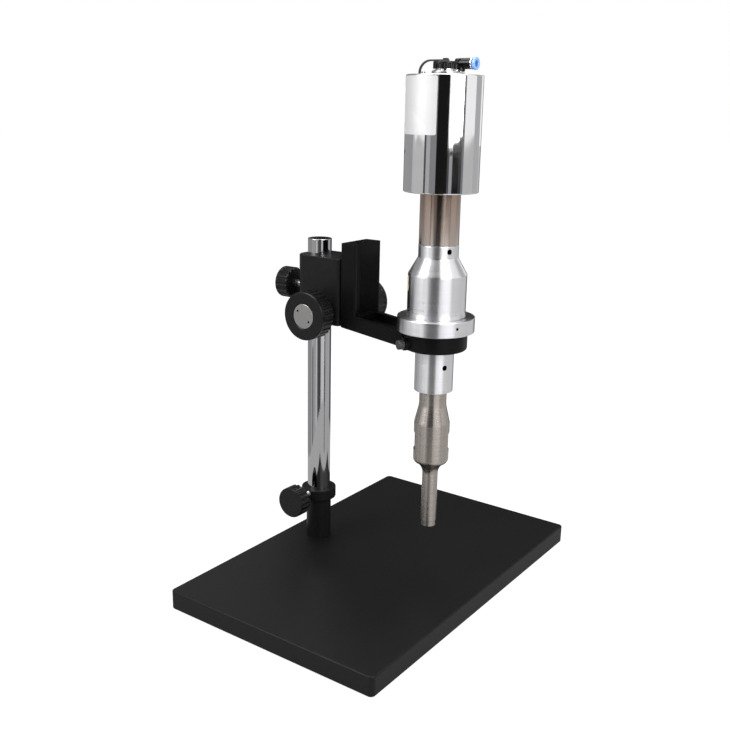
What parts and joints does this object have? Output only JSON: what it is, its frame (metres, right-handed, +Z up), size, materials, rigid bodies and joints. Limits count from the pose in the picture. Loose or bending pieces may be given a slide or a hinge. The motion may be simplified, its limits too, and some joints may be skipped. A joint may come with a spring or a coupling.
{
  "type": "probe sonicator",
  "caption": "Ultrasonic probe with chromed transducer, booster and titanium horn, held in the ring of a rack-focused arm on a chromed post and black base plate.",
  "frame": {"origin": "on the bench under the middle of the base plate, 1 mm below the plate's underside", "axes": "+Z up; +X from the post to the probe, along the plate's short side; +Y along its long side"},
  "size_m": [0.2595, 0.383, 0.5321],
  "materials": {
    "black_coat": "fine-textured satin black coat",
    "chrome": "polished chrome plate",
    "aluminium": "turned satin aluminium",
    "titanium": "turned titanium alloy, satin, faintly warm grey",
    "heat_tinted": "polished metal with brown heat tint",
    "bright_steel": "bright turned steel",
    "satin_cap": "satin nickel-plated steel",
    "dark_steel": "blackened steel",
    "nickel": "nickel-plated brass",
    "brass": "turned brass",
    "rubber": "matt black rubber",
    "black_plastic": "moulded black plastic",
    "blue_plastic": "moulded blue plastic",
    "insulator": "white insulating tube",
    "ceramic": "fired grey-brown ceramic with silvered faces",
    "foil": "matt silver foil, blank",
    "cream_foil": "cream printed-stock foil, blank"
  },
  "bodies": {
    "base": {"base_plate": "black_coat", "foot_pads": "rubber", "foot_screw": "dark_steel", "post_socket": "black_coat"},
    "post": {"post": "chrome", "post_plug": "black_plastic"},
    "socket_clamp": {"socket_clamp_knob": "black_plastic", "socket_clamp_stud": "bright_steel"},
    "head": {"focus_block": "black_coat", "pinion_bushes": "brass", "clamp_bush": "bright_steel"},
    "block_clamp": {"block_clamp_knob": "black_plastic", "block_clamp_stud": "bright_steel"},
    "focus_shaft": {"pinion_shaft": "bright_steel", "near_focus_knob": "black_plastic", "far_focus_knob": "black_plastic", "knob_lock_caps": "satin_cap", "drag_collars": "black_coat", "drag_screws": "bright_steel"},
    "carriage": {"arm_casting": "black_coat", "rack": "brass", "rack_screws": "bright_steel"},
    "ring_lock": {"ring_screw": "dark_steel"},
    "probe": {"carry_ring": "aluminium", "carry_nut": "aluminium", "carry_seals": "rubber", "booster": "aluminium", "horn_stud": "bright_steel", "booster_stud": "bright_steel", "horn": "titanium", "horn_tip": "titanium", "transducer_housing": "chrome", "housing_screws": "dark_steel", "housing_base": "aluminium", "front_mass": "heat_tinted", "cradle": "aluminium", "cradle_nut": "aluminium", "cradle_seals": "rubber", "piezo_rings": "ceramic", "electrodes": "brass", "back_mass": "bright_steel", "preload_bolt": "dark_steel", "bolt_sleeve": "insulator", "name_plate": "foil", "booster_plate": "cream_foil", "connector_socket": "bright_steel", "connector_pins": "brass", "connector_screws": "bright_steel", "tether": "rubber", "tether_screw": "bright_steel", "tether_rivet": "black_plastic", "fitting_stem": "nickel"},
    "cap": {"dust_cap": "black_plastic"},
    "air_elbow": {"fitting_elbow": "black_plastic", "fitting_ring": "nickel"},
    "collet": {"release_collet": "blue_plastic"}
  },
  "joints": [
    {"name": "post_turn", "type": "hinge", "parent": "base", "child": "post", "pos_m": [-0.088, 0, 0.079], "axis": [0, 0, 1], "continuous": true},
    {"name": "socket_clamp_turn", "type": "hinge", "parent": "base", "child": "socket_clamp", "pos_m": [-0.088, -0.034, 0.0745], "axis": [0, -1, 0], "range_deg": [0, 360]},
    {"name": "head_slide", "type": "slide", "parent": "post", "child": "head", "axis": [0, 0, 1], "range_m": [-0.01, 0.04]},
    {"name": "block_clamp_turn", "type": "hinge", "parent": "head", "child": "block_clamp", "pos_m": [-0.121, 0, 0.304], "axis": [-1, 0, 0], "range_deg": [0, 360]},
    {"name": "focus_slide", "type": "slide", "parent": "head", "child": "carriage", "axis": [0, 0, 1], "range_m": [-0.04, 0.01]},
    {"name": "pinion_turn", "type": "hinge", "parent": "head", "child": "focus_shaft", "pos_m": [-0.064, 0, 0.2845], "axis": [0, 1, 0], "range_deg": [-82, 328]},
    {"name": "ring_screw_turn", "type": "hinge", "parent": "carriage", "child": "ring_lock", "pos_m": [0.03903, -0.03061, 0.2675], "axis": [-0.4848, -0.8746, 0], "range_deg": [0, 360]},
    {"name": "probe_lift", "type": "slide", "parent": "carriage", "child": "probe", "axis": [0, 0, 1], "range_m": [0, 0.21]},
    {"name": "cap_turn", "type": "hinge", "parent": "probe", "child": "cap", "pos_m": [0.056, 0, 0.525], "axis": [0, 0, 1], "range_deg": [0, 360]},
    {"name": "elbow_swivel", "type": "hinge", "parent": "probe", "child": "air_elbow", "pos_m": [0.0606, 0.0176, 0.522], "axis": [0, 0, 1], "range_deg": [-35, 180]},
    {"name": "collet_push", "type": "slide", "parent": "air_elbow", "child": "collet", "axis": [-1, 0, 0], "range_m": [0, 0.0012], "stiffness_N_per_m": 800, "springref_m": -0.001}
  ],
  "couplings": [
    {"joint": "pinion_turn", "follows": "focus_slide", "rad_per_m": -142.86}
  ]
}
